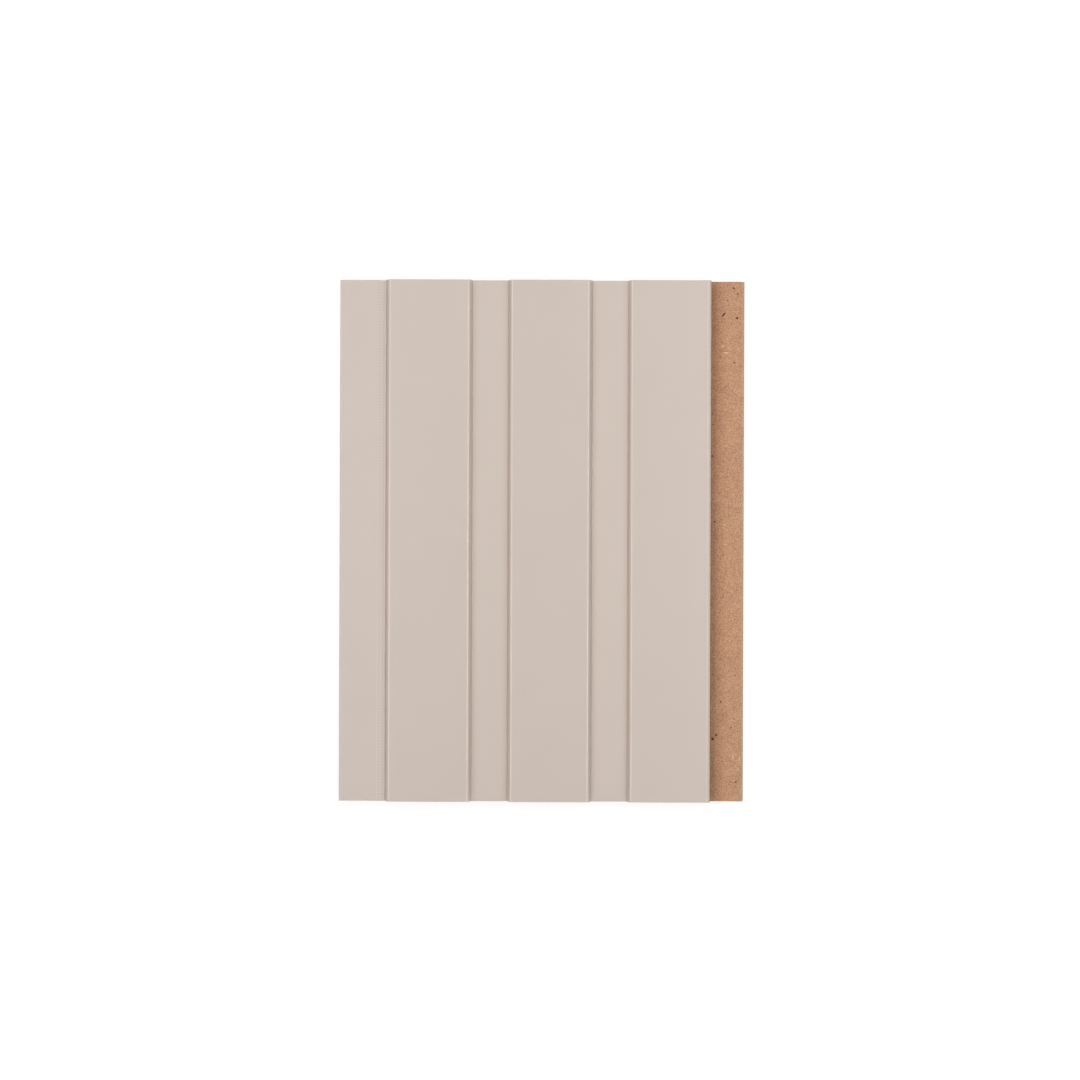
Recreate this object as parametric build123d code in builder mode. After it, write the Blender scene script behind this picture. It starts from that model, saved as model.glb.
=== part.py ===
from build123d import *
import os
from math import radians, sqrt, tan

os.makedirs("parts", exist_ok=True)

# A cut length of slatted wall panelling, milled from one board, in millimetres.
# It lies on its back: X runs across the battens, Y along them, Z up out of the painted face.
# The origin is the middle of its footprint, on the plane of the back.

# Board
panel_length = 300.0
web_thickness = 10.0  # board left under a recess
batten_rise = 6.0  # face of the battens above the recess floors, 16 mm board in all

# Battens and the recesses between them
batten_count = 3
batten_pitch = 69.0
recess_width = 20.4  # flat floor, from wall foot to wall foot
wall_draft = 12.0  # degrees from upright
arris_radius = 1.8
foot_radius = 0.4
first_batten_extra = 1.2  # the pass that mills the lip leaves the first batten this much wider

# Flange: the bare step on the right edge that is nailed to the wall
flange_reach = 19.6
flange_thickness = 5.2
flange_chamfer = 0.8

# Lip: the painted left edge, whose nose slides into the groove of the panel before it
tongue_reach = 6.2  # how far the nose goes in under the last batten
nose_radius = 0.8
nose_chamfer = 0.5

# Upright wall where the flange's step is cut through the last batten
closing_wall_inset = 0.9  # from the foot that a sloping wall would have there
closing_arris_width = 2.0
closing_arris_radius = 4.0

# Room that the joint leaves around the lip
lap_clearance = 0.2  # above and below the nose
nose_clearance = 0.5  # ahead of the nose
shoulder_clearance = 0.6  # between the flange's edge and the shoulder above the wall
cutter_radius = 0.4  # inner corners of the groove and the rebate

# Heights above the back
face_height = web_thickness + batten_rise
lip_underside = flange_thickness + lap_clearance
groove_roof = web_thickness + lap_clearance
closing_arris_drop = closing_arris_radius - sqrt(closing_arris_radius**2 - closing_arris_width**2)

# Widths
batten_foot_width = batten_pitch - recess_width
wall_run = batten_rise * tan(radians(wall_draft))
lip_width = recess_width + tongue_reach
rebate_width = tongue_reach + flange_reach + shoulder_clearance
groove_depth = tongue_reach + nose_clearance
battens_width = batten_count * batten_pitch - recess_width + first_batten_extra - closing_wall_inset
panel_width = lip_width + battens_width + flange_reach

# Places across the panel
left_edge = -panel_width / 2
right_edge = panel_width / 2
first_foot = left_edge + lip_width
second_foot = first_foot + first_batten_extra + batten_pitch
closing_wall = right_edge - flange_reach
recess_feet = [second_foot - recess_width + gap * batten_pitch for gap in range(batten_count - 1)]

with BuildPart() as wall_panel:
    with BuildSketch(Plane.XZ) as section:
        # the board before milling
        with Locations((0, face_height / 2)):
            Rectangle(panel_width, face_height)

        # recesses between the battens, with sloping walls
        for foot in recess_feet:
            with BuildLine():
                Polyline(
                    (foot - wall_run, face_height),
                    (foot, web_thickness),
                    (foot + recess_width, web_thickness),
                    (foot + recess_width + wall_run, face_height),
                    close=True,
                )
            make_face(mode=Mode.SUBTRACT)

        # top of the lip, level with the recess floors
        with BuildLine():
            Polyline(
                (left_edge, face_height),
                (left_edge, web_thickness),
                (first_foot, web_thickness),
                (first_foot + wall_run, face_height),
                close=True,
            )
        make_face(mode=Mode.SUBTRACT)

        arrises = section.vertices().group_by(Axis.Y)[-1].sort_by(Axis.X)[:-1]
        fillet(arrises, arris_radius)
        feet = [
            corner
            for corner in section.vertices().filter_by_position(Axis.Y, web_thickness, web_thickness)
            if corner.X > left_edge
        ]
        fillet(feet, foot_radius)

        # step over the flange, with its eased arris and upright wall
        with BuildLine():
            eased = TangentArc(
                (closing_wall - closing_arris_width, face_height),
                (closing_wall, face_height - closing_arris_drop),
                tangent=(1, 0),
            )
            Polyline(
                eased @ 1,
                (closing_wall, flange_thickness),
                (right_edge, flange_thickness),
                (right_edge, face_height),
                eased @ 0,
            )
        make_face(mode=Mode.SUBTRACT)

        # groove under the last batten, which takes the nose of the next lip
        with Locations((closing_wall, (flange_thickness + groove_roof) / 2)):
            Rectangle(2 * groove_depth, groove_roof - flange_thickness, mode=Mode.SUBTRACT)

        # rebate under the lip, which laps over the flange before it
        with Locations((left_edge, lip_underside / 2)):
            Rectangle(2 * rebate_width, lip_underside, mode=Mode.SUBTRACT)

        groove_corners = section.vertices().filter_by(lambda v: abs(v.X - closing_wall + groove_depth) < 0.01)
        rebate_corner = section.vertices().filter_by(
            lambda v: abs(v.X - left_edge - rebate_width) < 0.01 and v.Y > lip_underside / 2
        )
        fillet(groove_corners + rebate_corner, cutter_radius)

        # nose of the lip and outer edge of the flange
        nose = section.vertices().group_by(Axis.X)[0].sort_by(Axis.Y)
        chamfer(nose[0], nose_chamfer)
        nose_top = section.vertices().group_by(Axis.X)[0].sort_by(Axis.Y)[-1]
        fillet(nose_top, nose_radius)
        flange_top = section.vertices().group_by(Axis.X)[-1].sort_by(Axis.Y)[-1]
        chamfer(flange_top, flange_chamfer)
    extrude(amount=panel_length / 2, both=True)

wall_panel.part.label = "wall_panel"
export_step(wall_panel.part, "parts/wall_panel.step")
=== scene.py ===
"""Dresses a cut length of slatted fibreboard wall panelling and sets it in a photographer's studio.

The panel is one milled board. Its face, its recesses and its lip carry satin paint; the flange, the
groove, the rebate, the back and the sawn ends are bare fibreboard. Lengths are in metres.
"""

import logging
import math
from dataclasses import dataclass, field
from enum import Enum, IntEnum

import bmesh
import bpy
from mathutils import Matrix, Vector, noise


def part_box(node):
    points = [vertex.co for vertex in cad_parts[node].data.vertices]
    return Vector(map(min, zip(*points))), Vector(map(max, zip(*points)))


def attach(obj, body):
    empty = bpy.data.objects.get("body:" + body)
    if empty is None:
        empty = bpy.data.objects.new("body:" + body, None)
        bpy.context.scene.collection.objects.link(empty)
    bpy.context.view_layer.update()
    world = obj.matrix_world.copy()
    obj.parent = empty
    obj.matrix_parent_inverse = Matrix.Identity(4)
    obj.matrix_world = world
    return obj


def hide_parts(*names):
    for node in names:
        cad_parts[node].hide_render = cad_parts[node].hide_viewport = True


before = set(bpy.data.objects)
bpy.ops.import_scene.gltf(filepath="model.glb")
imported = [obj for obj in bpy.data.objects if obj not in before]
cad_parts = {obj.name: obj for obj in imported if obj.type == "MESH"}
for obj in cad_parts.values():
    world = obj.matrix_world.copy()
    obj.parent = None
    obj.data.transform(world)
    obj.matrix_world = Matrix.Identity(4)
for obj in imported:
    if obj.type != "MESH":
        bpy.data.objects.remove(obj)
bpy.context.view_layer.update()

MM = 0.001
NODE_NAME = "wall_panel"
LACQUER_ROUGHNESS = 0.25
EVEN = (1.0, 1.0, 1.0)
SHARP_ANGLE = math.radians(40.0)
LEVEL_ANGLE = math.radians(0.3)
WELD_DISTANCE = 0.001 * MM

log = logging.getLogger("wall_panel")


class Surface(IntEnum):
    """The kinds of surface on the board, in the order of the piece's material slots."""

    PAINTED = 0
    MILLED = 1
    SAWN = 2
    SANDED = 3


class Mix(Enum):
    """What a mix node blends, with the places of its two inputs and its result."""

    NUMBER = ("FLOAT", 2, 3, 0)
    COLOUR = ("RGBA", 6, 7, 2)


@dataclass(frozen=True)
class Colour:
    """A surface colour, given as the light it sends back in red, green and blue."""

    red: float
    green: float
    blue: float

    @property
    def rgba(self) -> tuple[float, float, float, float]:
        """The colour with full opacity, as a colour socket takes it."""
        return (self.red, self.green, self.blue, 1.0)

    def times(self, cast: "Colour") -> "Colour":
        """The colour with each of its parts multiplied by the cast's."""
        return Colour(self.red * cast.red, self.green * cast.green, self.blue * cast.blue)


Triple = tuple[float, float, float]
Socket = bpy.types.NodeSocket
Input = Socket | float | Colour


@dataclass(frozen=True)
class Fade:
    """A soft change along a measure: nothing at start and top at end. Start may be the larger one."""

    start: float
    end: float
    top: float = 1.0


@dataclass(frozen=True)
class Section:
    """The lines of the milled profile that the finishes follow, measured across the panel."""

    left_edge: float
    right_edge: float
    half_length: float
    face_height: float
    recess_floor: float = 10.0 * MM
    flange_thickness: float = 5.2 * MM
    lip_underside: float = 5.4 * MM
    lip_width: float = 26.6 * MM
    flange_reach: float = 19.6 * MM
    batten_pitch: float = 69.0 * MM
    recess_width: float = 20.4 * MM
    first_batten_extra: float = 1.2 * MM

    @classmethod
    def from_node(cls, node: str) -> "Section":
        """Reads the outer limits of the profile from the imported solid.

        Args:
            node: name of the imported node.

        Returns:
            The section with its edges at the solid's own box.
        """
        low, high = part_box(node)
        return cls(left_edge=low.x, right_edge=high.x, half_length=high.y, face_height=high.z)

    @property
    def length(self) -> float:
        """The panel's whole length, along the battens."""
        return 2 * self.half_length

    @property
    def flange_depth(self) -> float:
        """How far the top of the flange lies under the face of the battens."""
        return self.face_height - self.flange_thickness

    @property
    def first_foot(self) -> float:
        """Where the lip ends and the wall of the first batten rises."""
        return self.left_edge + self.lip_width

    @property
    def recess_feet(self) -> tuple[float, ...]:
        """Where the walls of the two recesses meet their floors, and the wall beside the lip."""
        second = self.first_foot + self.first_batten_extra + self.batten_pitch
        third = second + self.batten_pitch
        return (self.first_foot, second - self.recess_width, second, third - self.recess_width, third)

    @property
    def closing_wall(self) -> float:
        """The upright wall between the last batten and the flange."""
        return self.right_edge - self.flange_reach


@dataclass(frozen=True)
class PhotoGrid:
    """The camera as the picture shows it: it turns a place in the picture into one on the panel.

    Pixels are counted from the middle of the picture's top left pixel.
    """

    size: int = 1080
    panel_centre_x: float = 541.35
    panel_centre_y: float = 540.42
    pixels_per_length: float = 522.45
    panel_length: float = 300.0 * MM
    distance: float = 1.935
    roll: float = math.radians(0.2)

    @property
    def pixel(self) -> float:
        """Width of a pixel on the face of the battens."""
        return self.panel_length / self.pixels_per_length

    @property
    def turn(self) -> Matrix:
        """How the camera, which looks straight down, is turned about its line of sight."""
        return Matrix.Rotation(self.roll, 3, "Z")

    def ray(self, pixel_x: float, pixel_y: float) -> Vector:
        """The line of sight through a pixel, one unit long along the camera's axis.

        Args:
            pixel_x: pixels from the picture's left.
            pixel_y: pixels from the picture's top.

        Returns:
            The direction that the pixel looks in.
        """
        middle = (self.size - 1) / 2
        across = (pixel_x - middle) * self.pixel / self.distance
        up = (middle - pixel_y) * self.pixel / self.distance
        return self.turn @ Vector((across, up, -1.0))

    @property
    def eye(self) -> Vector:
        """The camera's place, measured from the middle of the battens' face."""
        return self.ray(self.panel_centre_x, self.panel_centre_y) * -self.distance

    def place(self, pixel_x: float, pixel_y: float, depth: float) -> Vector:
        """The point of the panel that a pixel shows.

        Args:
            pixel_x: pixels from the picture's left.
            pixel_y: pixels from the picture's top.
            depth: how far the surface lies under the face of the battens.

        Returns:
            The point in the panel's own plane, with a height of 0.
        """
        ray = self.ray(pixel_x, pixel_y)
        reach = (self.eye.z + depth) / -ray.z
        point = self.eye + ray * reach
        return Vector((point.x, point.y, 0.0))


@dataclass(frozen=True)
class Mark:
    """A fibre bundle, a pit or a nib that can be made out, by its place in the picture.

    Its length and its width are in millimetres.
    """

    pixel_x: float
    pixel_y: float
    length: float
    width: float
    strength: float
    turn: float = 0.0


@dataclass
class NodeSheet:
    """A material's node tree, with short ways to add what the finishes share."""

    tree: bpy.types.NodeTree
    place: Socket = field(init=False)

    def __post_init__(self) -> None:
        """Empties the tree and adds the object's own coordinates."""
        self.tree.nodes.clear()
        self.place = self.add("ShaderNodeTexCoord").outputs["Object"]

    def add(self, kind: str, **settings: object) -> bpy.types.Node:
        """Adds a node.

        Args:
            kind: the node's type.
            settings: the node's own properties.

        Returns:
            The new node.
        """
        node = self.tree.nodes.new(kind)
        for name, value in settings.items():
            setattr(node, name, value)
        return node

    def feed(self, socket: Socket, value: Input) -> None:
        """Links a socket to another one, or sets its number or colour.

        Args:
            socket: the input to fill.
            value: an output socket, or a plain value.
        """
        if isinstance(value, Socket):
            self.tree.links.new(value, socket)
        elif isinstance(value, Colour):
            socket.default_value = value.rgba
        else:
            socket.default_value = value

    def math(self, operation: str, first: Input, second: Input = 0.0) -> Socket:
        """One sum on numbers.

        Args:
            operation: what the sum does, such as ADD.
            first: its first number or socket.
            second: its second number or socket.

        Returns:
            The result.
        """
        node = self.add("ShaderNodeMath", operation=operation)
        self.feed(node.inputs[0], first)
        self.feed(node.inputs[1], second)
        return node.outputs[0]

    def plus(self, first: Input, second: Input) -> Socket:
        """Two numbers added."""
        return self.math("ADD", first, second)

    def minus(self, first: Input, second: Input) -> Socket:
        """The second number taken from the first."""
        return self.math("SUBTRACT", first, second)

    def times(self, first: Input, second: Input) -> Socket:
        """Two numbers multiplied."""
        return self.math("MULTIPLY", first, second)

    def larger(self, first: Input, second: Input) -> Socket:
        """The larger of two numbers."""
        return self.math("MAXIMUM", first, second)

    def gap(self, value: Input, place: float) -> Socket:
        """How far a number lies from a place, on either side."""
        return self.math("ABSOLUTE", self.minus(value, place))

    def swing(self, value: Input, amount: float) -> Socket:
        """How far a pattern lies above or below a half, times an amount."""
        return self.times(self.minus(value, 0.5), amount)

    def ramp(self, value: Input, fade: Fade, origin: float = 0.0) -> Socket:
        """Eases from 0 to the fade's top along a measure.

        Args:
            value: the measure.
            fade: where the change starts and ends.
            origin: the place that the fade's own are counted from.

        Returns:
            The eased value.
        """
        low = origin + min(fade.start, fade.end)
        high = origin + max(fade.start, fade.end)
        rising = fade.start < fade.end
        node = self.add("ShaderNodeMapRange", interpolation_type="SMOOTHSTEP")
        self.feed(node.inputs["Value"], value)
        node.inputs["From Min"].default_value = low
        node.inputs["From Max"].default_value = high
        node.inputs["To Min"].default_value = 0.0 if rising else fade.top
        node.inputs["To Max"].default_value = fade.top if rising else 0.0
        return node.outputs["Result"]

    def stretched(self, stretch: Triple) -> Socket:
        """The object's coordinates, multiplied along each axis.

        Args:
            stretch: the factor for each axis.

        Returns:
            The coordinates.
        """
        node = self.add("ShaderNodeVectorMath", operation="MULTIPLY")
        self.feed(node.inputs[0], self.place)
        node.inputs[1].default_value = stretch
        return node.outputs[0]

    def axis(self, name: str) -> Socket:
        """One coordinate of the object.

        Args:
            name: its letter.

        Returns:
            The coordinate.
        """
        node = self.add("ShaderNodeSeparateXYZ")
        self.feed(node.inputs[0], self.place)
        return node.outputs[name]

    def grain(
        self, size: float, detail: float = 2.0, rough: float = 0.5, warp: float = 0.0, stretch: Triple = EVEN
    ) -> Socket:
        """Soft random mottling.

        Args:
            size: breadth of one mottle.
            detail: how many finer layers lie on it.
            rough: how strong those layers are.
            warp: how far the pattern is drawn out of shape.
            stretch: factor on the coordinates along each axis.

        Returns:
            A value round a half.
        """
        node = self.add("ShaderNodeTexNoise", noise_dimensions="3D")
        self.feed(node.inputs["Vector"], self.stretched(stretch))
        node.inputs["Scale"].default_value = 1.0 / size
        node.inputs["Detail"].default_value = detail
        node.inputs["Roughness"].default_value = rough
        node.inputs["Distortion"].default_value = warp
        return node.outputs["Fac"]

    def mix(self, kind: Mix, share: Input, first: Input, second: Input, blend: str = "MIX") -> Socket:
        """A number or a colour between two.

        Args:
            kind: what is blended.
            share: part of the second input, from 0 to 1.
            first: what shows at 0.
            second: what shows at 1, or what the first one is multiplied by there.
            blend: MIX, or MULTIPLY to multiply.

        Returns:
            The blend.
        """
        data_type, first_place, second_place, result_place = kind.value
        node = self.add("ShaderNodeMix", data_type=data_type, blend_type=blend, clamp_factor=True)
        self.feed(node.inputs["Factor"], share)
        self.feed(node.inputs[first_place], first)
        self.feed(node.inputs[second_place], second)
        return node.outputs[result_place]

    def brighten(self, colour: Input, factor: Input) -> Socket:
        """A colour multiplied by a number.

        Args:
            colour: the colour.
            factor: the number.

        Returns:
            The brighter or darker colour.
        """
        node = self.add("ShaderNodeVectorMath", operation="SCALE")
        if isinstance(colour, Colour):
            node.inputs[0].default_value = colour.rgba[:3]
        else:
            self.feed(node.inputs[0], colour)
        self.feed(node.inputs["Scale"], factor)
        return node.outputs[0]

    def marked(self, marks: tuple[Mark, ...], depth: float, edge: float = 0.45) -> Input:
        """Oval marks at their places in the picture.

        Args:
            marks: the marks to add.
            depth: how far the surface lies under the face of the battens.
            edge: share of a mark's radius over which it fades.

        Returns:
            The strength of the mark that a point lies in, and 0 outside all of them.
        """
        grid = PhotoGrid()
        flat = self.stretched((1.0, 1.0, 0.0))
        result: Input = 0.0
        for mark in marks:
            node = self.add("ShaderNodeMapping", vector_type="TEXTURE")
            self.feed(node.inputs["Vector"], flat)
            node.inputs["Location"].default_value = grid.place(mark.pixel_x, mark.pixel_y, depth)
            node.inputs["Rotation"].default_value = (0.0, 0.0, math.radians(mark.turn))
            node.inputs["Scale"].default_value = (mark.length * MM / 2, mark.width * MM / 2, 1.0)
            radius = self.add("ShaderNodeVectorMath", operation="LENGTH")
            self.feed(radius.inputs[0], node.outputs[0])
            inside = self.ramp(radius.outputs["Value"], Fade(1.0, 1.0 - edge, mark.strength))
            result = self.plus(result, inside)
        return result

    def bands(
        self, vector: Socket, direction: str, scale: float, warp: float, fineness: float = 1.0
    ) -> Socket:
        """Wavy bands, as the teeth of a tool leave them.

        Args:
            vector: the coordinates.
            direction: the axis that the bands follow each other along.
            scale: how close they lie.
            warp: how far they are drawn out of line.
            fineness: scale of the warp.

        Returns:
            A value from 0 to 1.
        """
        node = self.add("ShaderNodeTexWave", wave_type="BANDS", bands_direction=direction)
        self.feed(node.inputs["Vector"], vector)
        node.inputs["Scale"].default_value = scale
        node.inputs["Distortion"].default_value = warp
        node.inputs["Detail"].default_value = 2.0
        node.inputs["Detail Scale"].default_value = fineness
        return node.outputs["Fac"]

    def finish(
        self, colour: Input, roughness: Input, height: Input, specular: float, lacquer: float = 0.0
    ) -> None:
        """Adds the surface shader and the output.

        Args:
            colour: the base colour.
            roughness: the roughness.
            height: the fine relief, in metres.
            specular: strength of the shine at a right angle.
            lacquer: share of a clear coat over it.
        """
        bump = self.add("ShaderNodeBump")
        bump.inputs["Strength"].default_value = 1.0
        bump.inputs["Distance"].default_value = 1.0
        self.feed(bump.inputs["Height"], height)
        shader = self.add("ShaderNodeBsdfPrincipled")
        self.feed(shader.inputs["Base Color"], colour)
        self.feed(shader.inputs["Roughness"], roughness)
        shader.inputs["Specular IOR Level"].default_value = specular
        shader.inputs["Coat Weight"].default_value = lacquer
        shader.inputs["Coat Roughness"].default_value = LACQUER_ROUGHNESS
        self.feed(shader.inputs["Normal"], bump.outputs[0])
        output = self.add("ShaderNodeOutputMaterial")
        self.feed(output.inputs["Surface"], shader.outputs[0])


@dataclass(frozen=True)
class Look:
    """What a finish puts on a surface: its colour, its roughness and its fine relief in metres."""

    colour: Input
    roughness: Input
    height: Input


DARK_MARKS = (
    Mark(723.3, 314.2, 3.9, 1.15, 1.0, 53.0),
    Mark(736.7, 317.6, 1.9, 1.5, 1.0, 50.0),
    Mark(733.3, 287.9, 2.2, 1.3, 0.65, -22.0),
    Mark(737.3, 293.8, 1.7, 1.3, 0.65),
    Mark(727.2, 300.0, 1.3, 1.2, 0.65),
    Mark(719.3, 300.5, 1.2, 1.1, 0.35),
    Mark(727.2, 284.7, 1.4, 1.0, 0.35),
    Mark(733.7, 362.3, 2.3, 1.1, 0.6, -12.0),
    Mark(719.5, 356.6, 1.4, 1.2, 0.55),
    Mark(740.2, 365.8, 1.3, 1.0, 0.35, 40.0),
    Mark(713.3, 365.5, 1.4, 1.1, 0.35),
    Mark(725.0, 386.6, 1.9, 1.2, 0.4, 10.0),
    Mark(711.9, 412.5, 1.3, 1.1, 0.6),
    Mark(712.8, 424.0, 1.2, 1.0, 0.5),
    Mark(711.9, 455.5, 1.6, 1.2, 0.85),
    Mark(726.7, 476.3, 1.3, 1.1, 0.45),
    Mark(714.3, 521.2, 1.5, 1.2, 0.8, 45.0),
    Mark(713.3, 674.7, 1.3, 1.1, 0.35),
    Mark(735.0, 675.0, 1.2, 1.0, 0.35),
    Mark(720.3, 701.4, 1.6, 1.3, 0.75, -30.0),
    Mark(729.5, 700.3, 1.1, 1.0, 0.35),
    Mark(733.8, 707.1, 1.3, 1.1, 0.45, 20.0),
    Mark(733.8, 718.8, 1.3, 1.1, 0.35, 30.0),
    Mark(717.5, 719.2, 1.1, 1.1, 0.35),
    Mark(730.4, 727.2, 1.3, 1.2, 0.65),
    Mark(715.6, 734.6, 1.6, 1.5, 0.95),
    Mark(712.0, 738.4, 2.0, 1.6, 1.0, -40.0),
    Mark(735.1, 781.7, 1.6, 1.3, 0.75),
    Mark(729.9, 781.5, 1.3, 1.1, 0.45),
    Mark(716.3, 788.7, 1.3, 1.1, 0.35),
)

PALE_MARKS = (
    Mark(722.4, 346.0, 2.7, 1.0, 0.9, 45.0),
    Mark(725.6, 352.3, 3.7, 0.9, 0.9, -6.0),
    Mark(724.6, 316.6, 1.7, 0.8, 0.5, 53.0),
    Mark(738.8, 394.2, 1.2, 1.1, 0.6),
    Mark(725.0, 409.0, 1.5, 0.9, 0.45, 60.0),
    Mark(730.0, 410.5, 1.5, 0.9, 0.45, 60.0),
    Mark(720.8, 440.0, 1.4, 1.0, 0.5),
    Mark(724.2, 524.2, 1.6, 1.1, 0.6, 40.0),
    Mark(732.4, 756.8, 3.2, 1.0, 0.75, 84.0),
    Mark(738.9, 758.0, 3.4, 0.8, 0.7, 80.0),
    Mark(737.0, 768.5, 2.6, 0.8, 0.6, 110.0),
    Mark(736.7, 706.8, 1.4, 0.9, 0.5, 45.0),
)

PAINT_NIBS = (
    Mark(528.4, 602.9, 1.1, 0.8, 1.0),
    Mark(408.2, 286.8, 1.0, 0.7, 0.9),
    Mark(366.2, 404.9, 1.6, 0.8, 0.7, 35.0),
    Mark(433.4, 397.3, 1.9, 0.9, 0.6, 30.0),
    Mark(420.1, 740.0, 0.9, 0.9, 0.6),
    Mark(433.2, 783.8, 0.9, 0.9, 0.8),
    Mark(625.3, 337.9, 0.9, 0.7, 0.7),
    Mark(442.0, 331.0, 1.0, 0.8, 0.5),
    Mark(405.0, 403.0, 0.9, 0.8, 0.5),
    Mark(397.0, 372.0, 0.9, 0.8, 0.5),
    Mark(412.0, 372.0, 0.9, 0.8, 0.5),
    Mark(556.0, 644.0, 1.0, 0.8, 0.5),
)

PAINT_CHIPS = (
    Mark(427.0, 801.0, 3.6, 0.9, 0.9, 4.0),
    Mark(423.0, 800.6, 1.4, 0.9, 0.5),
)


@dataclass(frozen=True)
class CutterLine:
    """A line along the lip, by its distance from the first batten and its tone at each end."""

    from_foot: float
    half_width: float
    at_top: float
    at_bottom: float


# The bright line nearest the foot is partly painted light: it lifts the shade in the corner at the wall's
# foot.
CUTTER_LINES = (
    CutterLine(0.72 * MM, 0.5 * MM, 0.16, 0.13),
    CutterLine(1.3 * MM, 0.6 * MM, -0.1, 0.03),
    CutterLine(2.7 * MM, 0.75 * MM, 0.0, 0.09),
    CutterLine(3.55 * MM, 0.6 * MM, -0.04, -0.035),
    CutterLine(4.7 * MM, 0.7 * MM, -0.015, 0.07),
)


@dataclass(frozen=True)
class Strands:
    """Short curly fibres, with the size of their curls and how thick, common and plain they are."""

    size: float
    thickness: float
    chance: Fade
    share: float
    solid: float = 0.3
    curl: float = 1.2
    patch: float = 0.8


@dataclass(frozen=True)
class BareFibreboard:
    """Fibreboard with no paint: pressed wood fibre, fine and brown, with a few coarse bundles in it."""

    body: Colour = Colour(0.475, 0.263, 0.153)
    low_cast: Colour = Colour(0.5, 0.41, 0.3)
    high_cast: Colour = Colour(1.5, 1.59, 1.7)
    dark_fibre: Colour = Colour(0.09, 0.022, 0.008)
    pale_fibre: Colour = Colour(0.72, 0.49, 0.33)
    # Painted shade: the tint that darkens the board beside the upright wall.
    wall_shade_tint: Colour = Colour(0.89, 0.85, 0.83)
    roughness: float = 0.82
    specular: float = 0.35
    contrast: float = 1.0
    fibre_stretch: Triple = EVEN
    fibre_size: float = 0.72 * MM
    fibre_tone: float = 1.5
    cloud_size: float = 7.0 * MM
    cloud_tone: float = 0.22
    pale_strands: Strands = Strands(2.7 * MM, 0.013, Fade(0.5, 0.58), 0.45)
    dark_strands: Strands = Strands(2.3 * MM, 0.014, Fade(0.54, 0.63), 0.28)
    speck_spacing: float = 4.2 * MM
    speck_radius: float = 0.13
    speck_share: float = 0.5
    relief: float = 0.03 * MM
    pit_depth: float = 0.12 * MM

    def look(self, sheet: NodeSheet, marked_depth: float | None = None) -> Look:
        """Builds the board's pattern.

        Args:
            sheet: the material's nodes.
            marked_depth: depth under the battens' face of the surface whose single bundles the
                picture shows, or None to leave them out.

        Returns:
            The board's colour, roughness and relief.
        """
        fine = sheet.grain(self.fibre_size, rough=0.55, warp=0.4, stretch=self.fibre_stretch)
        cloud = sheet.grain(self.cloud_size, stretch=self.fibre_stretch)
        fine_tone = sheet.swing(fine, self.fibre_tone * self.contrast)
        cloud_tone = sheet.swing(cloud, self.cloud_tone * self.contrast)
        tone = sheet.plus(sheet.plus(fine_tone, cloud_tone), 0.5)
        colour = sheet.mix(Mix.COLOUR, tone, self.body.times(self.low_cast), self.body.times(self.high_cast))
        pale_share = self.strands(sheet, self.pale_strands)
        pits = self.specks(sheet)
        dark_share = sheet.larger(self.strands(sheet, self.dark_strands), pits)
        if marked_depth is not None:
            dark_share = sheet.plus(dark_share, sheet.marked(DARK_MARKS, marked_depth))
            pale_share = sheet.plus(pale_share, sheet.marked(PALE_MARKS, marked_depth))
            pits = dark_share
        colour = sheet.mix(Mix.COLOUR, pale_share, colour, self.pale_fibre)
        colour = sheet.mix(Mix.COLOUR, dark_share, colour, self.dark_fibre)
        raised = sheet.times(fine, self.relief)
        sunk = sheet.times(pits, self.pit_depth)
        return Look(colour, self.roughness, sheet.minus(raised, sunk))

    def strands(self, sheet: NodeSheet, kind: Strands) -> Socket:
        """Fibres, drawn where a mottled field passes through its middle value.

        Args:
            sheet: the material's nodes.
            kind: the fibres to draw.

        Returns:
            The kind's share on a fibre and 0 beside it.
        """
        field_value = sheet.grain(kind.size, detail=1.0, warp=kind.curl, stretch=self.fibre_stretch)
        line = sheet.ramp(sheet.gap(field_value, 0.5), Fade(kind.thickness, kind.thickness * kind.solid))
        gate_value = sheet.grain(kind.size * kind.patch, detail=0.0, stretch=self.fibre_stretch)
        shown = sheet.times(line, sheet.ramp(gate_value, kind.chance))
        return sheet.times(shown, kind.share * self.contrast)

    def specks(self, sheet: NodeSheet) -> Socket:
        """Small dark specks, a few millimetres apart, each with its own size.

        Args:
            sheet: the material's nodes.

        Returns:
            The share of a speck at a point.
        """
        cells = sheet.add("ShaderNodeTexVoronoi", feature="F1")
        sheet.feed(cells.inputs["Vector"], sheet.stretched(self.fibre_stretch))
        cells.inputs["Scale"].default_value = 1.0 / self.speck_spacing
        chance = sheet.add("ShaderNodeSeparateColor")
        sheet.feed(chance.inputs[0], cells.outputs["Color"])
        radius = sheet.times(sheet.ramp(chance.outputs[0], Fade(0.35, 1.0)), self.speck_radius)
        inside = sheet.minus(radius, cells.outputs["Distance"])
        return sheet.times(sheet.ramp(inside, Fade(-0.02, 0.05)), self.speck_share * self.contrast)


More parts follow.
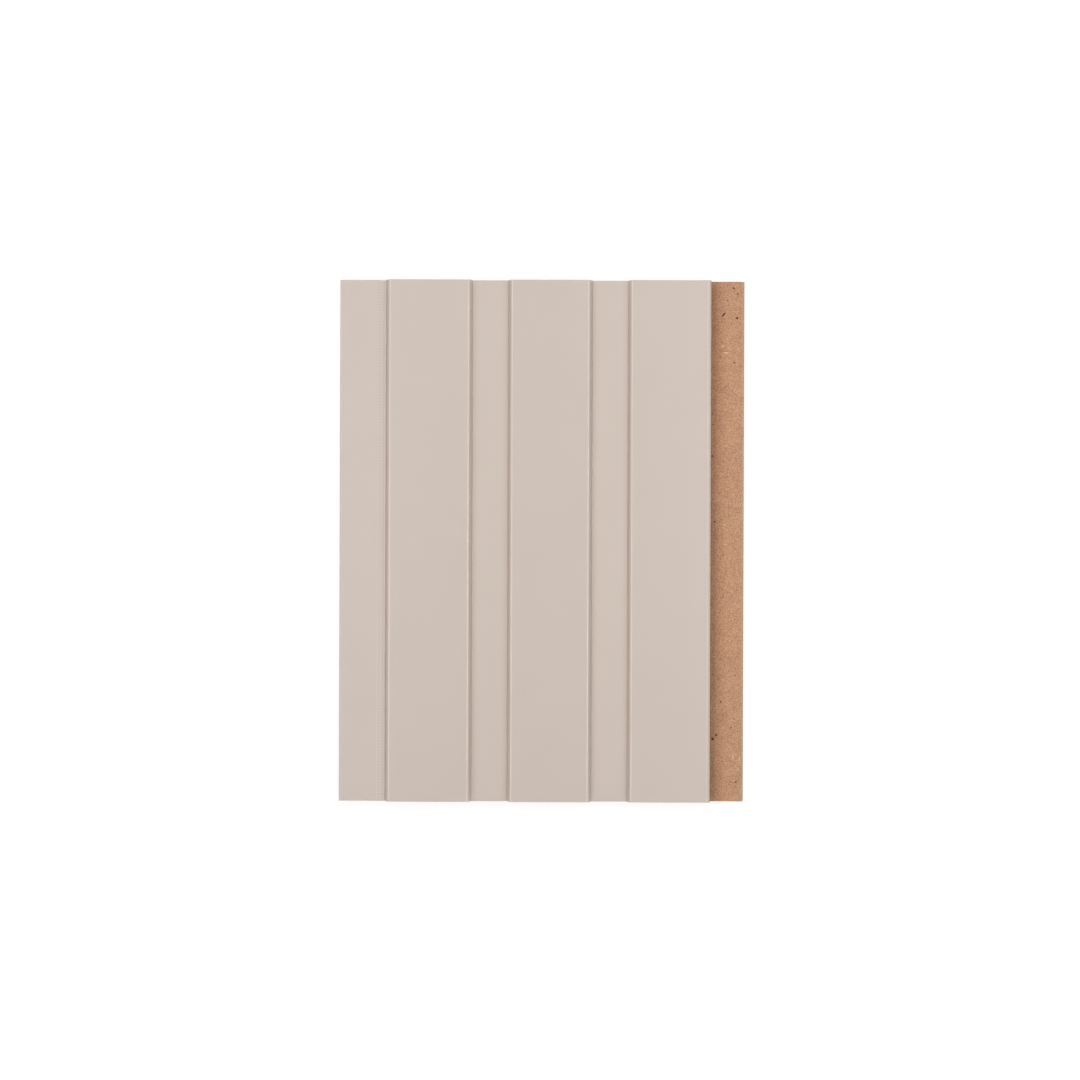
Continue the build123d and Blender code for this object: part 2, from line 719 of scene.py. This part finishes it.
@dataclass(frozen=True)
class SatinPaint:
    """Sprayed satin paint in a warm greige."""

    body: Colour = Colour(0.562, 0.479, 0.42)
    # Painted shade: the warmer, darker tint of the batten walls and the corners at their feet.
    wall_shade_tint: Colour = Colour(1.015, 0.968, 0.934)
    roughness: float = 0.22
    wear_size: float = 14.0 * MM
    wear_roughness: float = 0.06
    specular: float = 1.0
    lacquer: float = 0.3
    cloud_size: float = 45.0 * MM
    cloud_tone: float = 0.012
    mottle_size: float = 1.1 * MM
    mottle_tone: float = 0.006
    peel_size: float = 2.2 * MM
    peel_height: float = 0.0012 * MM
    nib_tone: float = 0.06
    nib_height: float = 0.05 * MM

    def look(self, sheet: NodeSheet, nibs: bool = False) -> Look:
        """Builds the paint's film, with its fine peel, its slight mottling and its dust nibs.

        Args:
            sheet: the material's nodes.
            nibs: whether the dust nibs that the picture shows are added.

        Returns:
            The paint's colour, roughness and relief.
        """
        cloud = sheet.grain(self.cloud_size, detail=1.0)
        mottle = sheet.grain(self.mottle_size)
        tone = sheet.plus(1.0, sheet.swing(cloud, self.cloud_tone))
        tone = sheet.plus(tone, sheet.swing(mottle, self.mottle_tone))
        height = sheet.times(sheet.grain(self.peel_size), self.peel_height)
        if nibs:
            dust = sheet.marked(PAINT_NIBS, 0.0, edge=0.9)
            tone = sheet.minus(tone, sheet.times(dust, self.nib_tone))
            height = sheet.plus(height, sheet.times(dust, self.nib_height))
        worn = sheet.times(sheet.grain(self.wear_size), self.wear_roughness)
        return Look(sheet.brighten(self.body, tone), sheet.plus(worn, self.roughness), height)


@dataclass(frozen=True)
class WallSide:
    """How the finishes change near the upright wall over the flange, by the distance from it.

    The paint thins out and ends before the wall, the arris near it carries painted shade, and the bare board
    beyond it is painted darker and redder, as shade from the wall.
    """

    rag_size: float = 1.6 * MM
    rag_reach: float = 0.3 * MM
    thin_paint: Fade = Fade(-1.8 * MM, 0.4 * MM, 0.4)
    no_paint: Fade = Fade(-0.1 * MM, 0.02 * MM)
    rough_paint: Fade = Fade(-2.4 * MM, -1.8 * MM, 0.08)
    # Painted shade on the closing arris: a darker line that tones down its highlight, by its centre and its
    # fade.
    arris_shade_centre: float = -1.3 * MM
    arris_shade_fade: Fade = Fade(1.2 * MM, 0.2 * MM, 0.13)
    # Where the painted arris highlight stops before the wall.
    arris_highlight_stop: Fade = Fade(-2.6 * MM, -3.2 * MM)
    # Painted shade on the flange beside the wall: a dark line at its foot, and a darker, redder tint further
    # out.
    painted_foot_shadow: Fade = Fade(1.5 * MM, 0.8 * MM, 0.2)
    wall_shade_reach: Fade = Fade(10.5 * MM, 2.5 * MM)
    wall_shade_eased: Fade = Fade(2.6 * MM, 0.8 * MM, 0.5)


@dataclass
class Finishes:
    """Makes the four materials of the board."""

    section: Section
    paint: SatinPaint = SatinPaint()
    board: BareFibreboard = BareFibreboard()
    sawn_board: BareFibreboard = BareFibreboard(
        body=Colour(0.415, 0.235, 0.142),
        fibre_stretch=(0.35, 1.0, 1.7),
        relief=0.05 * MM,
        contrast=1.15,
        roughness=0.9,
    )
    sanded_board: BareFibreboard = BareFibreboard(
        body=Colour(0.49, 0.295, 0.186), relief=0.012 * MM, contrast=0.6, roughness=0.72
    )
    wall_side: WallSide = WallSide()
    # Painted highlight: the band under the face where the arrises are painted paler, and where it stops.
    arris_highlight_band: Fade = Fade(-0.32 * MM, -0.12 * MM, 0.09)
    arris_highlight_cutoff: Fade = Fade(-0.003 * MM, -0.02 * MM)
    # Where the painted wall shade lies: up the walls and round their feet.
    wall_above_floor: Fade = Fade(0.1 * MM, 0.5 * MM)
    wall_below_face: Fade = Fade(-0.5 * MM, -1.3 * MM)
    corner_shade_tint: Fade = Fade(2.2 * MM, 0.2 * MM, 0.6)
    flange_mist: Fade = Fade(-1.5 * MM, -0.6 * MM, 0.42)
    nose_mist: Fade = Fade(3.5 * MM, 0.0, 0.85)
    dapple_size: float = 0.8 * MM
    line_wander_size: float = 9.0 * MM
    line_wander: float = 0.7 * MM
    band_start: Fade = Fade(0.3 * MM, 0.6 * MM)
    band_end: Fade = Fade(6.4 * MM, 5.2 * MM)
    chatter_pitch: float = 1.7 * MM
    chatter_tone: float = 0.055
    tooth_scale: float = 160.0
    tooth_depth: float = 0.02 * MM
    scratch_size: float = 0.5 * MM
    scratch_depth: float = 0.004 * MM

    def build(self) -> list[bpy.types.Material]:
        """Makes the materials in the order of Surface.

        Returns:
            One material for each kind of surface.
        """
        made = []
        for surface, dress in zip(Surface, (self.painted, self.milled, self.sawn, self.sanded)):
            material = bpy.data.materials.new(f"{surface.name.lower()}_board")
            material.use_nodes = True
            dress(NodeSheet(material.node_tree))
            made.append(material)
        return made

    def painted(self, sheet: NodeSheet) -> None:
        """Paint over the face, which ends in a ragged line just short of the upright wall.

        Args:
            sheet: the material's nodes.
        """
        paint = self.paint.look(sheet, nibs=True)
        bare = self.board.look(sheet)
        side = self.wall_side
        wall = self.section.closing_wall
        across = sheet.axis("X")
        ragged = sheet.plus(across, sheet.times(sheet.grain(side.rag_size, detail=3.0), side.rag_reach))
        thin = sheet.ramp(ragged, side.thin_paint, wall)
        share = sheet.larger(thin, sheet.ramp(ragged, side.no_paint, wall))
        share = sheet.larger(share, sheet.marked(PAINT_CHIPS, 0.0))
        rough = sheet.ramp(across, side.rough_paint, wall)
        # Painted shade along the closing arris, which tones down the highlight there.
        painted_arris_shade = sheet.ramp(sheet.gap(across, wall + side.arris_shade_centre), side.arris_shade_fade)
        # The tone carries the painted arris highlight.
        tone = sheet.plus(self.cutter_lines(sheet), self.painted_arris_highlight(sheet))
        colour = sheet.brighten(paint.colour, sheet.minus(tone, painted_arris_shade))
        # Painted shade on the batten walls and at their feet.
        walls = self.shaded_walls(sheet)
        colour = sheet.mix(Mix.COLOUR, walls, colour, self.paint.wall_shade_tint, "MULTIPLY")
        film = Look(colour, sheet.plus(paint.roughness, rough), paint.height)
        self.layer(sheet, film, bare, share, self.paint.specular, self.paint.lacquer)

    def painted_arris_highlight(self, sheet: NodeSheet) -> Socket:
        """A painted highlight along the rounded arrises of the battens: the film is painted paler there.

        Args:
            sheet: the material's nodes.

        Returns:
            How much paler the painted highlight makes the film.
        """
        height = sheet.axis("Z")
        face = self.section.face_height
        up_arris = sheet.ramp(height, self.arris_highlight_band, face)
        below_face = sheet.ramp(height, self.arris_highlight_cutoff, face)
        before_wall = sheet.ramp(sheet.axis("X"), self.wall_side.arris_highlight_stop, self.section.closing_wall)
        return sheet.times(sheet.times(up_arris, below_face), before_wall)

    def shaded_walls(self, sheet: NodeSheet) -> Socket:
        """Painted shade on the walls of the battens and in the corners at their feet, as a warmer, darker
        tint.

        Args:
            sheet: the material's nodes.

        Returns:
            The share of the painted shade's tint.
        """
        height = sheet.axis("Z")
        above_floor = sheet.ramp(height, self.wall_above_floor, self.section.recess_floor)
        below_face = sheet.ramp(height, self.wall_below_face, self.section.face_height)
        across = sheet.axis("X")
        corners: Input = 0.0
        for foot in self.section.recess_feet:
            corners = sheet.plus(corners, sheet.ramp(sheet.gap(across, foot), self.corner_shade_tint))
        corners = sheet.times(corners, sheet.minus(1.0, above_floor))
        return sheet.larger(sheet.times(above_floor, below_face), corners)

    def cutter_lines(self, sheet: NodeSheet) -> Socket:
        """The lines that the cutter left in the lip beside the first batten, as the paint shows them; the
        bright line nearest the foot also lifts the shade in that corner, as painted light.

        Args:
            sheet: the material's nodes.

        Returns:
            A factor on the paint's tone, 1 away from the lines.
        """
        from_foot = sheet.minus(self.section.first_foot, sheet.axis("X"))
        along = sheet.plus(sheet.math("DIVIDE", sheet.axis("Y"), self.section.length), 0.5)
        wander = sheet.grain(self.line_wander_size, stretch=(0.3, 1.0, 1.0))
        shifted = sheet.plus(from_foot, sheet.swing(wander, self.line_wander))
        tone: Input = 1.0
        for line in CUTTER_LINES:
            shape = sheet.ramp(sheet.gap(shifted, line.from_foot), Fade(line.half_width, 0.0))
            strength = sheet.plus(sheet.times(along, line.at_top - line.at_bottom), line.at_bottom)
            tone = sheet.plus(tone, sheet.times(shape, strength))
        past_foot = sheet.ramp(from_foot, self.band_start)
        in_band = sheet.times(past_foot, sheet.ramp(from_foot, self.band_end))
        spacing = 2 * math.pi / (20.0 * self.chatter_pitch)
        rows = sheet.bands(sheet.stretched((0.5, 1.0, 1.0)), "Y", spacing, warp=2.5, fineness=1.5)
        both_ends = sheet.plus(sheet.ramp(along, Fade(0.5, 0.72)), sheet.ramp(along, Fade(0.3, 0.1)))
        chatter = sheet.swing(rows, self.chatter_tone)
        chatter = sheet.times(chatter, sheet.plus(sheet.times(both_ends, 0.75), 0.25))
        return sheet.plus(tone, sheet.times(chatter, in_band))

    def milled(self, sheet: NodeSheet) -> None:
        """Bare milled board, with a mist of paint on the flange's edge and behind the lip's nose, and
        painted shade beside the upright wall.

        Args:
            sheet: the material's nodes.
        """
        paint = self.paint.look(sheet)
        bare = self.board.look(sheet, self.section.flange_depth)
        across = sheet.axis("X")
        on_flange = sheet.ramp(across, self.flange_mist, self.section.right_edge)
        on_nose = sheet.ramp(across, self.nose_mist, self.section.left_edge)
        dapple = sheet.ramp(sheet.grain(self.dapple_size, detail=3.0), Fade(0.25, 0.6))
        share = sheet.times(sheet.larger(on_flange, on_nose), dapple)
        side = self.wall_side
        off_wall = sheet.gap(across, self.section.closing_wall)
        # Painted shade beside the wall: darker at its foot, and darker and redder further out.
        corner = sheet.ramp(off_wall, side.painted_foot_shadow)
        red = sheet.minus(sheet.ramp(off_wall, side.wall_shade_reach), sheet.ramp(off_wall, side.wall_shade_eased))
        colour = sheet.mix(Mix.COLOUR, red, bare.colour, self.board.wall_shade_tint, "MULTIPLY")
        colour = sheet.brighten(colour, sheet.minus(1.0, corner))
        shaded_board = Look(colour, bare.roughness, bare.height)
        self.layer(sheet, shaded_board, paint, share, self.board.specular)

    def sawn(self, sheet: NodeSheet) -> None:
        """Sawn board: streaked along its layers, denser and darker towards both of its faces.

        Args:
            sheet: the material's nodes.
        """
        look = self.sawn_board.look(sheet)
        middle = self.section.face_height / 2
        dense = sheet.ramp(sheet.gap(sheet.axis("Z"), middle), Fade(middle * 0.45, middle))
        tone = sheet.minus(1.06, sheet.times(dense, 0.3))
        teeth = sheet.bands(sheet.place, "X", self.tooth_scale, warp=3.0)
        relief = sheet.plus(look.height, sheet.times(teeth, self.tooth_depth))
        colour = sheet.brighten(look.colour, tone)
        sheet.finish(colour, look.roughness, relief, self.sawn_board.specular)

    def sanded(self, sheet: NodeSheet) -> None:
        """The back as the mill sands it: smooth and a little paler, with faint scratches along it.

        Args:
            sheet: the material's nodes.
        """
        look = self.sanded_board.look(sheet)
        scratches = sheet.grain(self.scratch_size, stretch=(1.0, 0.02, 1.0))
        tone = sheet.plus(0.96, sheet.times(scratches, 0.08))
        relief = sheet.plus(look.height, sheet.times(scratches, self.scratch_depth))
        colour = sheet.brighten(look.colour, tone)
        sheet.finish(colour, look.roughness, relief, self.sanded_board.specular)

    def layer(
        self, sheet: NodeSheet, under: Look, over: Look, share: Input, specular: float, lacquer: float = 0.0
    ) -> None:
        """Shows one look over another and finishes the material.

        Args:
            sheet: the material's nodes.
            under: what shows where share is 0.
            over: what shows where share is 1.
            share: the part of the second look.
            specular: strength of the shine.
            lacquer: share of a clear coat over both.
        """
        colour = sheet.mix(Mix.COLOUR, share, under.colour, over.colour)
        roughness = sheet.mix(Mix.NUMBER, share, under.roughness, over.roughness)
        height = sheet.mix(Mix.NUMBER, share, under.height, over.height)
        sheet.finish(colour, roughness, height, specular, lacquer)


@dataclass(frozen=True)
class ToolMarks:
    """The ribs and lines that the cutter pressed into the strip of the lip beside the first batten."""

    section: Section
    band_width: float = 6.0 * MM
    band_fade: float = 1.2 * MM
    height: float = 0.014 * MM
    rib_pitch: float = 1.55 * MM
    rib_wander: float = 0.6 * MM
    rib_height: float = 0.8
    line_pitch: float = 2.1 * MM
    line_wander: float = 0.25 * MM
    grit_height: float = 0.5

    def holds(self, place: Vector) -> bool:
        """Whether a point lies on the marked strip.

        Args:
            place: a point of the board.

        Returns:
            True on the strip.
        """
        near_foot = self.section.first_foot - self.band_width - 0.01 * MM < place.x
        on_lip = place.x < self.section.first_foot - 0.4 * MM
        return near_foot and on_lip and abs(place.z - self.section.recess_floor) < 0.01 * MM

    def wave(self, measure: float, pitch: float) -> float:
        """A smooth wave between 0 and 1 along a measure."""
        return 0.5 + 0.5 * math.sin(measure / pitch * 2 * math.pi)

    def depth(self, place: Vector) -> float:
        """How deep the cutter's marks are at a point.

        Ribs across the strip are plainest in its upper half, and lines along it in its lower half.

        Args:
            place: a point on the lip.

        Returns:
            The depth under the lip's surface.
        """
        from_foot = self.section.first_foot - place.x
        along = place.y / self.section.length + 0.5
        fade = min(1.0, max(0.0, (self.band_width - from_foot) / self.band_fade))
        patch = 0.55 + 0.9 * noise.noise(Vector((from_foot * 200, place.y * 55, 3.1)))
        rib_shift = self.rib_wander * noise.noise(Vector((place.y * 30, 7.7, from_foot * 300)))
        line_shift = self.line_wander * noise.noise(Vector((place.y * 60, 1.3, 0.0)))
        rib_share = min(1.0, max(0.15, (along - 0.3) * 2.2))
        ribs = rib_share * self.wave(place.y + rib_shift, self.rib_pitch) * self.rib_height
        lines = (1.1 - rib_share) * self.wave(from_foot + line_shift, self.line_pitch)
        grit = 0.5 + 0.5 * noise.noise(Vector((place.x * 1500, place.y * 1500, 0.0)))
        return self.height * max(0.0, patch) * fade * (ribs + lines + self.grit_height * grit)


@dataclass
class PanelBoard:
    """The board's visible surface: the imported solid's own shape with eased edges and tool marks."""

    section: Section
    marks: ToolMarks
    edge_break: float = 0.12 * MM
    row_pitch: float = 1.5 * MM
    column_pitch: float = 0.4 * MM
    band_rows_between: int = 4
    shape: bmesh.types.BMesh = field(default_factory=bmesh.new)

    def build(self, materials: list[bpy.types.Material]) -> bpy.types.Object:
        """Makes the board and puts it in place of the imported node.

        Args:
            materials: one material for each kind of surface.

        Returns:
            The finished piece.
        """
        self.copy_solid()
        self.ease_edges()
        self.cut_band_columns()
        self.cut_rows()
        self.refine_band()
        self.press_tool_marks()
        self.sort_surfaces()
        mesh = bpy.data.meshes.new("panel_board")
        self.shape.to_mesh(mesh)
        self.shape.free()
        for material in materials:
            mesh.materials.append(material)
        board = bpy.data.objects.new("panel_board", mesh)
        bpy.context.scene.collection.objects.link(board)
        weighted = board.modifiers.new("even_normals", "WEIGHTED_NORMAL")
        weighted.keep_sharp = False
        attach(board, "root")
        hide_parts(NODE_NAME)
        return board

    def copy_solid(self) -> None:
        """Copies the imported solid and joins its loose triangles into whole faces."""
        shape = self.shape
        shape.from_mesh(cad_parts[NODE_NAME].data)
        bmesh.ops.remove_doubles(shape, verts=shape.verts[:], dist=WELD_DISTANCE)
        bmesh.ops.dissolve_limit(shape, angle_limit=LEVEL_ANGLE, verts=shape.verts[:], edges=shape.edges[:])
        for face in shape.faces:
            face.material_index = Surface.MILLED
            face.smooth = True

    def ease_edges(self) -> None:
        """Takes the sharpness off every corner, as sanding does."""
        sharp = [edge for edge in self.shape.edges if edge.calc_face_angle(0.0) > SHARP_ANGLE]
        bmesh.ops.bevel(
            self.shape,
            geom=sharp,
            offset=self.edge_break,
            offset_type="OFFSET",
            affect="EDGES",
            segments=2,
            profile=0.5,
            material=-1,
            clamp_overlap=False,
        )

    def cut_band_columns(self) -> None:
        """Cuts narrow columns into the lip, beside the first batten, for the marks of the cutter."""
        foot = self.section.first_foot
        across = foot - self.marks.band_width
        while across < foot - self.column_pitch * 1.5:
            lip_top = [
                face
                for face in self.shape.faces
                if face.normal.z > 0.999
                and face.calc_center_median().x < foot
                and face.calc_center_median().z < self.section.recess_floor + 0.1 * MM
            ]
            parts = {part for face in lip_top for part in (face, *face.edges, *face.verts)}
            bmesh.ops.bisect_plane(
                self.shape,
                geom=list(parts),
                plane_co=(across, 0.0, 0.0),
                plane_no=(1.0, 0.0, 0.0),
                dist=WELD_DISTANCE,
            )
            across += self.column_pitch

    def cut_rows(self) -> None:
        """Divides every edge that runs the whole length into even rows."""
        length = self.section.length
        long_edges = [edge for edge in self.shape.edges if edge.calc_length() > 0.9 * length]
        rows = round(length / self.row_pitch)
        bmesh.ops.subdivide_edges(self.shape, edges=long_edges, cuts=rows - 1)

    def refine_band(self) -> None:
        """Divides the rows of the marked strip again, so that it can hold the cutter's marks."""
        strip = [
            edge
            for edge in self.shape.edges
            if all(self.marks.holds(vertex.co) for vertex in edge.verts)
            and abs(edge.verts[0].co.y - edge.verts[1].co.y) > 0.9 * self.row_pitch
        ]
        bmesh.ops.subdivide_edges(self.shape, edges=strip, cuts=self.band_rows_between)

    def press_tool_marks(self) -> None:
        """Presses the cutter's marks into the lip."""
        for vertex in self.shape.verts:
            if self.marks.holds(vertex.co):
                vertex.co.z -= self.marks.depth(vertex.co)

    def sort_surfaces(self) -> None:
        """Gives each face the kind of surface that it belongs to."""
        self.shape.normal_update()
        for face in self.shape.faces:
            face.smooth = True
            face.material_index = self.surface_at(face.calc_center_median(), face.normal)

    def surface_at(self, place: Vector, outward: Vector) -> Surface:
        """The kind of surface that a face is.

        Args:
            place: middle of the face.
            outward: direction that it faces.

        Returns:
            Its kind.
        """
        section = self.section
        if abs(outward.y) > 0.8:
            return Surface.SAWN
        if outward.z < -0.7 and place.z < 0.05 * MM:
            return Surface.SANDED
        above_joint = place.z > section.lip_underside
        on_nose = place.x < section.left_edge + 0.2 * MM
        if place.x < section.closing_wall and above_joint and (on_nose or outward.z > 0.05):
            return Surface.PAINTED
        return Surface.MILLED


@dataclass(frozen=True)
class LightStrip:
    """A long soft box beside the line of sight, by the angles at which the panel sees it."""

    name: str
    near_angle: float
    far_angle: float
    radiance: float


@dataclass
class Studio:
    """A white table, long soft boxes on both sides overhead, and the camera between them."""

    face_height: float
    grid: PhotoGrid = PhotoGrid()
    lamp_height: float = 2.2
    half_length_angle: float = 40.0
    strips: tuple[LightStrip, ...] = (
        LightStrip("soft_box_left_near", -20.0, -12.0, 4.2),
        LightStrip("soft_box_left_far", -46.0, -20.0, 1.42),
        LightStrip("soft_box_right_near", 12.0, 20.0, 5.3),
        LightStrip("soft_box_right_far", 20.0, 46.0, 1.12),
    )
    top_light_place: Triple = (0.02, 1.2, 2.3)
    top_light_target: Triple = (0.02, 0.055, 0.0)
    top_light_width: float = 1.3
    top_light_power: float = 40.0
    top_light_half_angle: float = 6.6
    top_light_radius: float = 0.1
    walls: float = 0.16
    table_size: float = 12.0
    table_tone: Colour = Colour(0.25, 0.25, 0.25)
    table_glow: float = 0.8
    sensor: float = 36.0

    def build(self) -> None:
        """Makes the table, the lamps, the surroundings and the camera."""
        self.table()
        for strip in self.strips:
            self.lamp(strip)
        self.top_light()
        self.surroundings()
        self.camera()

    def table(self) -> None:
        """A plain white table top that glows, as a light table does."""
        top = bmesh.new()
        bmesh.ops.create_grid(top, x_segments=1, y_segments=1, size=self.table_size / 2)
        mesh = bpy.data.meshes.new("table_top")
        top.to_mesh(mesh)
        top.free()
        material = bpy.data.materials.new("table_white")
        material.use_nodes = True
        shader = material.node_tree.nodes["Principled BSDF"]
        shader.inputs["Base Color"].default_value = self.table_tone.rgba
        shader.inputs["Roughness"].default_value = 0.9
        shader.inputs["Specular IOR Level"].default_value = 0.1
        shader.inputs["Emission Color"].default_value = (1.0, 1.0, 1.0, 1.0)
        shader.inputs["Emission Strength"].default_value = self.table_glow
        mesh.materials.append(material)
        table = bpy.data.objects.new("table_top", mesh)
        bpy.context.scene.collection.objects.link(table)

    def lamp(self, strip: LightStrip) -> None:
        """One soft box that looks straight down.

        Args:
            strip: the box to make.
        """
        near = self.lamp_height * math.tan(math.radians(strip.near_angle))
        far = self.lamp_height * math.tan(math.radians(strip.far_angle))
        light = bpy.data.lights.new(strip.name, "AREA")
        light.shape = "RECTANGLE"
        light.size = abs(far - near)
        light.size_y = 2 * self.lamp_height * math.tan(math.radians(self.half_length_angle))
        light.energy = math.pi * light.size * light.size_y * strip.radiance
        lamp = bpy.data.objects.new(strip.name, light)
        lamp.location = ((near + far) / 2, 0.0, self.lamp_height)
        bpy.context.scene.collection.objects.link(lamp)

    def top_light(self) -> None:
        """A weak spot beyond the top end, whose soft rim leaves the bottom end a little darker."""
        light = bpy.data.lights.new("top_light", "SPOT")
        light.energy = self.top_light_power
        light.spot_size = 2 * math.radians(self.top_light_half_angle)
        light.spot_blend = 1.0
        light.shadow_soft_size = self.top_light_radius
        lamp = bpy.data.objects.new("top_light", light)
        lamp.scale = (self.top_light_width, 1.0, 1.0)
        lamp.location = self.top_light_place
        aim = Vector(self.top_light_target) - Vector(self.top_light_place)
        lamp.rotation_euler = aim.to_track_quat("-Z", "Y").to_euler()
        bpy.context.scene.collection.objects.link(lamp)

    def surroundings(self) -> None:
        """Pale, dim walls all round, and colours shown as they are."""
        world = bpy.data.worlds.new("studio_walls")
        world.use_nodes = True
        background = world.node_tree.nodes["Background"]
        background.inputs["Color"].default_value = (1.0, 1.0, 1.0, 1.0)
        background.inputs["Strength"].default_value = self.walls
        bpy.context.scene.world = world
        bpy.context.scene.view_settings.view_transform = "Standard"

    def camera(self) -> None:
        """A long lens straight above the panel, framed and rolled as in the picture."""
        grid = self.grid
        data = bpy.data.cameras.new("camera")
        data.sensor_width = self.sensor
        data.lens = self.sensor * grid.distance / (grid.size * grid.pixel)
        data.clip_end = 100.0
        camera = bpy.data.objects.new("camera", data)
        camera.location = grid.eye + Vector((0.0, 0.0, self.face_height))
        camera.rotation_euler = (0.0, 0.0, grid.roll)
        bpy.context.scene.collection.objects.link(camera)
        bpy.context.scene.camera = camera


def main() -> None:
    """Builds the panel, then the studio round it."""
    logging.basicConfig(level=logging.INFO, format="%(message)s")
    section = Section.from_node(NODE_NAME)
    board = PanelBoard(section, ToolMarks(section)).build(Finishes(section).build())
    log.info("%s: %d faces", board.name, len(board.data.polygons))
    Studio(section.face_height).build()
    log.info("studio: camera at %.3f m", bpy.context.scene.camera.location.z)


if __name__ == "__main__":
    main()
